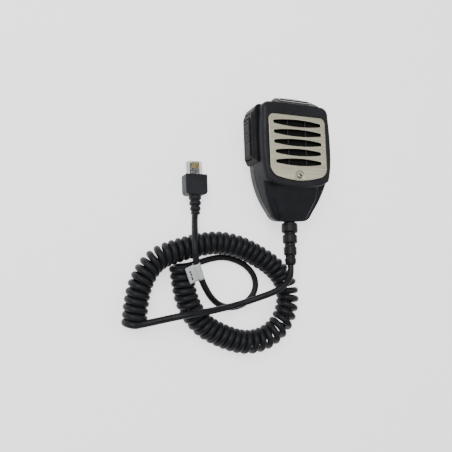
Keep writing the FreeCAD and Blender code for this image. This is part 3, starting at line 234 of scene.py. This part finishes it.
FINISH_OF_SLOT = {
    "case_plastic": CASE,
    "bar_rubber": RUBBER,
    "seal_rubber": RUBBER,
    "component_plastic": RUBBER,
    "ferrite": RUBBER,
    "cord_rubber": JACKET,
    "plug_boot_rubber": PLUG_RUBBER,
    "grille_metal": GRILLE,
    "trim_metal": TRIM,
    "insert_plastic": INSERT,
    "steel": STEEL,
    "stud_metal": STEEL,
    "speaker_steel": STEEL,
    "capsule_metal": STEEL,
    "mesh_cloth": CLOTH,
    "cone_paper": CLOTH,
    "tag_paper": PAPER,
    "clear_plastic": CLEAR,
    "gold": GOLD,
    "copper": metal("copper_winding", (0.75, 0.36, 0.2), 0.35),
    "plunger_plastic": insulation("plunger_red", (0.5, 0.06, 0.04)),
    "board_laminate": insulation("solder_mask", (0.03, 0.16, 0.06)),
    "header_plastic": insulation("header_ivory", (0.7, 0.68, 0.6)),
    "capacitor_sleeve": insulation("capacitor_sleeve", (0.05, 0.06, 0.14)),
    "wire_red": insulation("wire_red", (0.55, 0.05, 0.05)),
    "wire_black": insulation("wire_black", (0.03, 0.03, 0.03)),
    "wire_brown": insulation("wire_brown", (0.16, 0.07, 0.03)),
    "wire_yellow": insulation("wire_yellow", (0.75, 0.6, 0.05)),
    "wire_green": insulation("wire_green", (0.05, 0.3, 0.12)),
    "wire_blue": insulation("wire_blue", (0.1, 0.2, 0.5)),
    "wire_white": insulation("wire_white", (0.75, 0.75, 0.73)),
    "wire_orange": insulation("wire_orange", (0.75, 0.28, 0.05)),
}
for part in frame["record"]["subparts"]:
    paint(part["node"], FINISH_OF_SLOT[part["material_slot"]])
paint("grille_screw", SCREW)


# ---------------------------------------------------------------- cord

LEAD_ROUTE = [
    (-0.0032, -0.1004, 0.0202), (-0.0039, -0.1074, 0.0216), (-0.0076, -0.1134, 0.0238),
    (-0.0140, -0.1186, 0.0250), (-0.0224, -0.1226, 0.0234), (-0.0316, -0.1260, 0.0190),
    (-0.0416, -0.1293, 0.0146), (-0.0526, -0.1319, 0.0126), (-0.0644, -0.1332, 0.0142),
    (-0.0756, -0.1336, 0.0190), (-0.0860, -0.1336, 0.0238), (-0.0966, -0.1340, 0.0250),
    (-0.1068, -0.1354, 0.0224), (-0.1168, -0.1373, 0.0186), (-0.1274, -0.1390, 0.0159),
]
COIL_ROUTE = [
    (-0.1336, -0.1420), (-0.1322, -0.1255), (-0.1278, -0.1075), (-0.1170, -0.0918),
    (-0.1000, -0.0860), (-0.0830, -0.0820), (-0.0655, -0.0799), (-0.0475, -0.0832),
    (-0.0305, -0.0916), (-0.0140, -0.1020), (-0.0028, -0.1165), (-0.0016, -0.1335),
    (-0.0092, -0.1510), (-0.0255, -0.1618), (-0.0450, -0.1630), (-0.0640, -0.1556),
    (-0.0812, -0.1450), (-0.0912, -0.1295), (-0.0952, -0.1125), (-0.0966, -0.0960),
]
COIL_Z = 0.0097
TAIL_ROUTE = [
    (-0.0900, -0.0986, 0.0026), (-0.0800, -0.0964, 0.0026), (-0.0690, -0.0934, 0.0026),
    (-0.0578, -0.0922, 0.0026), (-0.0468, -0.0950, 0.0026), (-0.0372, -0.1002, 0.0026),
    (-0.0304, -0.1076, 0.0026), (-0.0279, -0.1164, 0.0026), (-0.0304, -0.1248, 0.0026),
    (-0.0369, -0.1310, 0.0026), (-0.0456, -0.1346, 0.0026), (-0.0550, -0.1346, 0.0028),
    (-0.0640, -0.1312, 0.0046), (-0.0718, -0.1246, 0.0086), (-0.0782, -0.1160, 0.0136),
    (-0.0834, -0.1068, 0.0182), (-0.0872, -0.0976, 0.0216), (-0.0888, -0.0884, 0.0236),
    (-0.0885, -0.0794, 0.0228), (-0.0868, -0.0716, 0.0182), (-0.0849, -0.0648, 0.0126),
    (-0.0835, -0.0594, 0.0088), (-0.0823, -0.0550, 0.0070),
]
CORD_D = 0.0052
TURNS = 59.5
TURN_POINTS = 16
TURN_R = 0.0069
COIL_FATNESS = 1.03
OPEN_AT = 0.64
OPEN_SPREAD = 0.13
OPEN_GAIN = 0.25
FAN_GROWTH = 0.0003
FAN_SHIFT = 0.0006
STRAYS = [(0.0002, 5.3, 0.0), (0.00014, 2.7, 1.0)]
# The smooth curve lies inside its control points by this factor.
SHRINK = math.cos(math.pi / TURN_POINTS)
SPLINE_ORDER = 3
CORD_STEPS = 4
ROUTE_STEPS = 12
BEVEL_STEPS = 5


def nurbs(name, points, radius=0.0, fatness=None):
    """A smooth curve with these control points, and its thickness at each where that varies."""
    data = bpy.data.curves.new(name, "CURVE")
    data.dimensions = "3D"
    spline = data.splines.new("NURBS")
    spline.points.add(len(points) - 1)
    for control, point in zip(spline.points, points):
        control.co = (*point, 1)
    for control, fat in zip(spline.points, fatness or []):
        control.radius = fat
    spline.order_u = SPLINE_ORDER
    spline.use_endpoint_u = True
    data.resolution_u = CORD_STEPS
    data.bevel_depth = radius
    data.bevel_resolution = BEVEL_STEPS
    data.use_fill_caps = True
    made = bpy.data.objects.new(name, data)
    bpy.context.scene.collection.objects.link(made)
    return made


def line_of(points):
    """Points close together along the smooth curve of a route."""
    thin = nurbs("thin_route", points)
    thin.data.resolution_u = ROUTE_STEPS
    mesh = bpy.data.meshes.new_from_object(thin)
    found = [v.co.copy() for v in mesh.vertices]
    bpy.data.objects.remove(thin)
    return found


def at_length(line, distance):
    """The point and direction a distance along a line."""
    for a, b in zip(line, line[1:]):
        step = (b - a).length
        if distance <= step:
            return a + (b - a) * (distance / step), (b - a).normalized()
        distance -= step
    return line[-1].copy(), (line[-1] - line[-2]).normalized()


def openness(share):
    """How far the turns are pulled apart at a share of the coil's length, from 0 to 1."""
    return math.exp(-(((share - OPEN_AT) / OPEN_SPREAD) ** 2))


def stray(turn):
    """How far a turn strays along its route, so that the turns are not quite even."""
    return sum(size * math.sin(turn / period + phase) for size, period, phase in STRAYS)


def curl(line):
    """The turns of the curly stretch round its route, wider apart where the coil is pulled open."""
    total = sum((b - a).length for a, b in zip(line, line[1:]))
    first, last = CORD_D / 2, total - CORD_D / 2
    count = int(TURNS * TURN_POINTS)
    places = [0.0]
    for _ in range(count):
        places.append(places[-1] + 1 + OPEN_GAIN * openness(places[-1] / count))
    made = []
    for i, place in enumerate(places):
        share = place / places[-1]
        turn = 2 * math.pi * i / TURN_POINTS
        along = first + (last - first) * share + stray(turn) * math.sin(math.pi * share)
        middle, ahead = at_length(line, along)
        side = Z_UP.cross(ahead).normalized()
        fan = openness(share)
        centre = middle + side * (FAN_SHIFT * fan) + Z_UP * (FAN_GROWTH * fan)
        arm = (TURN_R + FAN_GROWTH * fan) / SHRINK
        made.append(centre + (Z_UP * math.cos(turn) + side * math.sin(turn)) * arm)
    return made


# ---------------------------------------------------------------- soft-edged pieces

SMOOTHING = 0.5


def settle(piece):
    """Apply a piece's modifiers to its mesh."""
    bpy.context.view_layer.update()
    mesh = bpy.data.meshes.new_from_object(piece.evaluated_get(bpy.context.evaluated_depsgraph_get()))
    piece.modifiers.clear()
    piece.data = mesh


def soften(node, body, voxel, passes, finish, carve=None, blur=None, swell=None):
    """A moulded piece: the CAD piece remeshed finely, with its edges rounded by smoothing."""
    piece = bpy.data.objects.new(node + "_moulded", NODES[node].data.copy())
    bpy.context.scene.collection.objects.link(piece)
    if carve:
        cutter = carve()
        notch = piece.modifiers.new("notch", "BOOLEAN")
        notch.operation = "DIFFERENCE"
        notch.object = cutter
        settle(piece)
        bpy.data.objects.remove(cutter)
    remesh = piece.modifiers.new("remesh", "REMESH")
    remesh.mode = "VOXEL"
    remesh.voxel_size = voxel
    relax = piece.modifiers.new("relax", "SMOOTH")
    relax.factor = SMOOTHING
    relax.iterations = passes
    settle(piece)
    if blur:
        weights, blur_passes = blur
        group = piece.vertex_groups.new(name="blur")
        for vertex in piece.data.vertices:
            weight = weights(vertex.co)
            if weight > 0:
                group.add([vertex.index], weight, "REPLACE")
        wash = piece.modifiers.new("wash", "SMOOTH")
        wash.factor = SMOOTHING
        wash.iterations = blur_passes
        wash.vertex_group = group.name
        settle(piece)
    if swell:
        weights, growth = swell
        moves = [vertex.normal * (growth * weights(vertex.co)) for vertex in piece.data.vertices]
        for vertex, move in zip(piece.data.vertices, moves):
            vertex.co += move
    piece.data.materials.clear()
    piece.data.materials.append(finish.material)
    piece.data.shade_smooth()
    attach(piece, body)
    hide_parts(node)
    return piece


def ease(value, low, high):
    """A smooth rise from 0 to 1 between two values."""
    share = min(max((value - low) / (high - low), 0.0), 1.0)
    return share * share * (3 - 2 * share)


# The lip above the chin: where its middle lies, how it bows, and how it climbs past its half width.
LIP_HALF = 0.0218
LIP_DEPTH = 0.0368
LIP_BOW = 0.0018
LIP_RISE = 0.445
LIP_GAP = 0.0018
LIP_FADE = 0.0022
SEAM_FADE = (0.0205, 0.0235)
EXIT_FADE = (-0.0640, -0.0600)


def chin_weight(point):
    """How far a point of the front cover lies within the chin and its side bands."""
    out = abs(point.x) / LIP_HALF
    lip = -LIP_DEPTH + LIP_BOW * min(out, 1.0) ** 2 + LIP_RISE * LIP_HALF * max(out - 1.0, 0.0)
    below_lip = ease(lip + LIP_GAP - point.y, 0.0, LIP_FADE)
    above_seam = ease(point.z, *SEAM_FADE)
    clear_of_exit = ease(point.y, *EXIT_FADE)
    return below_lip * above_seam * clear_of_exit


BOX_FACES = [(0, 3, 2, 1), (4, 5, 6, 7), (0, 1, 5, 4), (1, 2, 6, 5), (2, 3, 7, 6), (3, 0, 4, 7)]


def slab(corners_of):
    """One mesh object of closed boxes, each given by its eight corners."""
    mesh = bpy.data.meshes.new("slabs")
    vertices, faces = [], []
    for corners in corners_of:
        base = len(vertices)
        vertices += corners
        faces += [tuple(base + k for k in face) for face in BOX_FACES]
    mesh.from_pydata(vertices, [], faces)
    made = bpy.data.objects.new("slabs", mesh)
    bpy.context.scene.collection.objects.link(made)
    return made


BOOT_START = Vector((0.0, -0.0646, 0.0160))
BOOT_END = Vector((-0.00319, -0.10102, 0.02023))
# Each slot's distance along the boot, and the boot's radius there.
BOOT_SLOTS = [
    (0.0062, 0.0062), (0.0104, 0.0046), (0.0148, 0.0056),
    (0.0201, 0.0042), (0.0250, 0.0050), (0.0301, 0.0038),
]
SLOT_HALF = (0.0008, 0.0018, 0.0011)
BOOT_BARE = (0.0662, 0.0680)
BOOT_SWELL = 0.0003


def boot_slots():
    """The cutter for the boot's flex slots, across its upper and lower sides."""
    along = (BOOT_END - BOOT_START).normalized()
    side = along.cross(Z_UP).normalized()
    rise = side.cross(along)
    long, wide, deep = SLOT_HALF
    ring = ((-1, -1), (1, -1), (1, 1), (-1, 1))
    reach = [(a, b, c) for c in (-deep, deep) for a, b in ring]
    boxes = []
    for distance, radius in BOOT_SLOTS:
        for face in (-1, 1):
            middle = BOOT_START + along * distance + rise * (face * radius)
            boxes.append([middle + along * (a * long) + side * (b * wide) + rise * c for a, b, c in reach])
    return slab(boxes)


def outside_case(point):
    """How far a point of the boot is clear of the covers, from 0 to 1."""
    return ease(-point.y, *BOOT_BARE)


soften("front_cover", "case", 0.00045, 6, CASE, blur=(chin_weight, 60))
soften("rear_cover", "case", 0.00055, 8, CASE)
soften("grille_plate", "case", 0.00024, 12, GRILLE)
soften("talk_rim", "case", 0.00035, 18, RUBBER)
soften("talk_bar", "talk_bar", 0.0003, 6, RUBBER)
soften("cable_boot", "case", 0.0003, 3, JACKET,
       carve=boot_slots, swell=(outside_case, BOOT_SWELL))
PLUG_BOOT = soften("plug_boot", "case", 0.0003, 20, PLUG_RUBBER)


# ---------------------------------------------------------------- tag

TAG_MIDDLE = Vector((-0.0853, -0.1022, 0.0199))
TAG_AXIS = Vector((-0.0038, 0.0092, 0.0034)).normalized()
TAG_OUT = Vector((-1.0, -0.27, 0.20))
TAG_HALF = 0.0070
TAG_REACH = 0.0098
TAG_LEAF_FROM = 0.0045
TAG_LEAF_UP = 0.00016
TAG_WRAP_R = 0.0028
TAG_OPENING = math.radians(16)
TAG_DROOP = 6.0
TAG_STEPS = 8
LEAF_STEPS = 6
WRAP_STEPS = 28
PAPER_THICK = 0.00014
INK_THICK = 0.00005
MARKS_FROM = 0.0062
MARKS_UP = 0.00032
# Each mark's start along the cord, its length, and its width.
MARKS = [
    (-0.0042, 0.0017, 0.0014), (-0.0018, 0.0008, 0.0018),
    (-0.0003, 0.0018, 0.0012), (0.0022, 0.0013, 0.0016),
]


def tag_frame():
    """The tag's own directions: out from the cord, and up from its face."""
    out = (TAG_OUT - TAG_AXIS * TAG_OUT.dot(TAG_AXIS)).normalized()
    up = out.cross(TAG_AXIS)
    return out, up if up.z > 0 else -up


def tag_point(u, v, w):
    """A point of the tag: out from the cord, up from its face, along the cord, with a slight droop."""
    out, up = tag_frame()
    droop = -TAG_DROOP * max(u, 0.0) ** 2
    return TAG_MIDDLE + out * u + up * (v + droop) + TAG_AXIS * w


def tag_section():
    """One strip of paper: in along the upper leaf, round the cord, and out along the lower leaf."""
    leaf = TAG_LEAF_FROM - TAG_REACH
    upper = [(TAG_REACH + leaf * k / LEAF_STEPS, TAG_LEAF_UP) for k in range(LEAF_STEPS + 1)]
    round_cord = 2 * math.pi - 2 * TAG_OPENING
    sweep = [TAG_OPENING + round_cord * k / WRAP_STEPS for k in range(WRAP_STEPS + 1)]
    wrap = [(TAG_WRAP_R * math.cos(a), TAG_WRAP_R * math.sin(a)) for a in sweep]
    lower = [(u, -v) for u, v in reversed(upper)]
    return upper + wrap + lower


def sheet(name, vertices, faces, finish, thickness, offset):
    """A thin sheet of a thickness, which lies about its faces as the offset says."""
    mesh = bpy.data.meshes.new(name)
    mesh.from_pydata(vertices, [], faces)
    mesh.materials.append(finish.material)
    made = bpy.data.objects.new(name, mesh)
    bpy.context.scene.collection.objects.link(made)
    thick = made.modifiers.new("thick", "SOLIDIFY")
    thick.thickness = thickness
    thick.offset = offset
    return made


def make_tag():
    """A folded paper flag stuck round the cord."""
    section = tag_section()
    wide = len(section)
    rows = [TAG_HALF * (2 * k / TAG_STEPS - 1) for k in range(TAG_STEPS + 1)]
    vertices = [tag_point(u, v, w) for w in rows for u, v in section]
    faces = [(k * wide + i, k * wide + i + 1, (k + 1) * wide + i + 1, (k + 1) * wide + i)
             for k in range(TAG_STEPS) for i in range(wide - 1)]
    tag = sheet("tag", vertices, faces, PAPER, PAPER_THICK, 0.0)
    tag.data.shade_smooth()
    settle(tag)
    return tag


def make_marks():
    """The tag's few plain printed marks."""
    corners, quads = [], []
    for start, length, width in MARKS:
        base = len(corners)
        for du, dw in ((0, 0), (width, 0), (width, length), (0, length)):
            corners.append(tag_point(MARKS_FROM + du, MARKS_UP, start + dw))
        quads.append((base, base + 1, base + 2, base + 3))
    marks = sheet("tag_marks", corners, quads, INK, INK_THICK, -1.0)
    settle(marks)
    return marks


TAG = make_tag()
TAG_MARKS = make_marks()
for piece in (TAG, TAG_MARKS):
    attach(piece, "case")
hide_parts("label_tag")


# ---------------------------------------------------------------- the cord itself

coil_line = line_of([(x, y, COIL_Z) for x, y in COIL_ROUTE])
turns = curl(coil_line)
fatness = [1.0] * len(LEAD_ROUTE) + [COIL_FATNESS] * len(turns) + [1.0] * len(TAIL_ROUTE)
cord = nurbs("cord", [*LEAD_ROUTE, *turns, *TAIL_ROUTE], CORD_D / 2, fatness)
cord.data.materials.append(JACKET.material)
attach(cord, "case")
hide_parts("cord_lead", "cord_coil", "cord_tail")


# ---------------------------------------------------------------- studio

WHITE = (1, 1, 1, 1)
FLOOR_HALF = 3.0
FLOOR_GLOW = 1.3
WORLD_GLOW = 0.42
CENTRE = (-0.05, -0.05, 0.0)


def make_floor():
    """A pale floor under the object."""
    mesh = bpy.data.meshes.new("floor")
    corners = [(x * FLOOR_HALF, y * FLOOR_HALF, 0) for x, y in ((-1, -1), (1, -1), (1, 1), (-1, 1))]
    mesh.from_pydata(corners, [], [(0, 1, 2, 3)])
    floor = bpy.data.objects.new("floor", mesh)
    bpy.context.scene.collection.objects.link(floor)
    pale = Finish("floor_pale", (0.86, 0.86, 0.86), 0.9)
    pale.set("Emission Color", WHITE)
    pale.set("Emission Strength", FLOOR_GLOW)
    mesh.materials.append(pale.material)


def make_light(name, at, towards, size, power):
    """One soft square light."""
    data = bpy.data.lights.new(name, "AREA")
    data.size = size
    data.energy = power
    light = bpy.data.objects.new(name, data)
    light.location = at
    light.rotation_mode = "QUATERNION"
    light.rotation_quaternion = (Vector(towards) - Vector(at)).to_track_quat("-Z", "Y")
    bpy.context.scene.collection.objects.link(light)


def make_world():
    """Even white light from all round."""
    world = bpy.data.worlds.new("studio")
    world.use_nodes = True
    background = world.node_tree.nodes["Background"]
    background.inputs["Color"].default_value = WHITE
    background.inputs["Strength"].default_value = WORLD_GLOW
    bpy.context.scene.world = world


make_floor()
make_light("key", (-0.5, 0.35, 0.9), CENTRE, 0.7, 9.0)
make_light("fill", (0.40, 0.02, 0.85), CENTRE, 0.6, 1.5)
make_world()
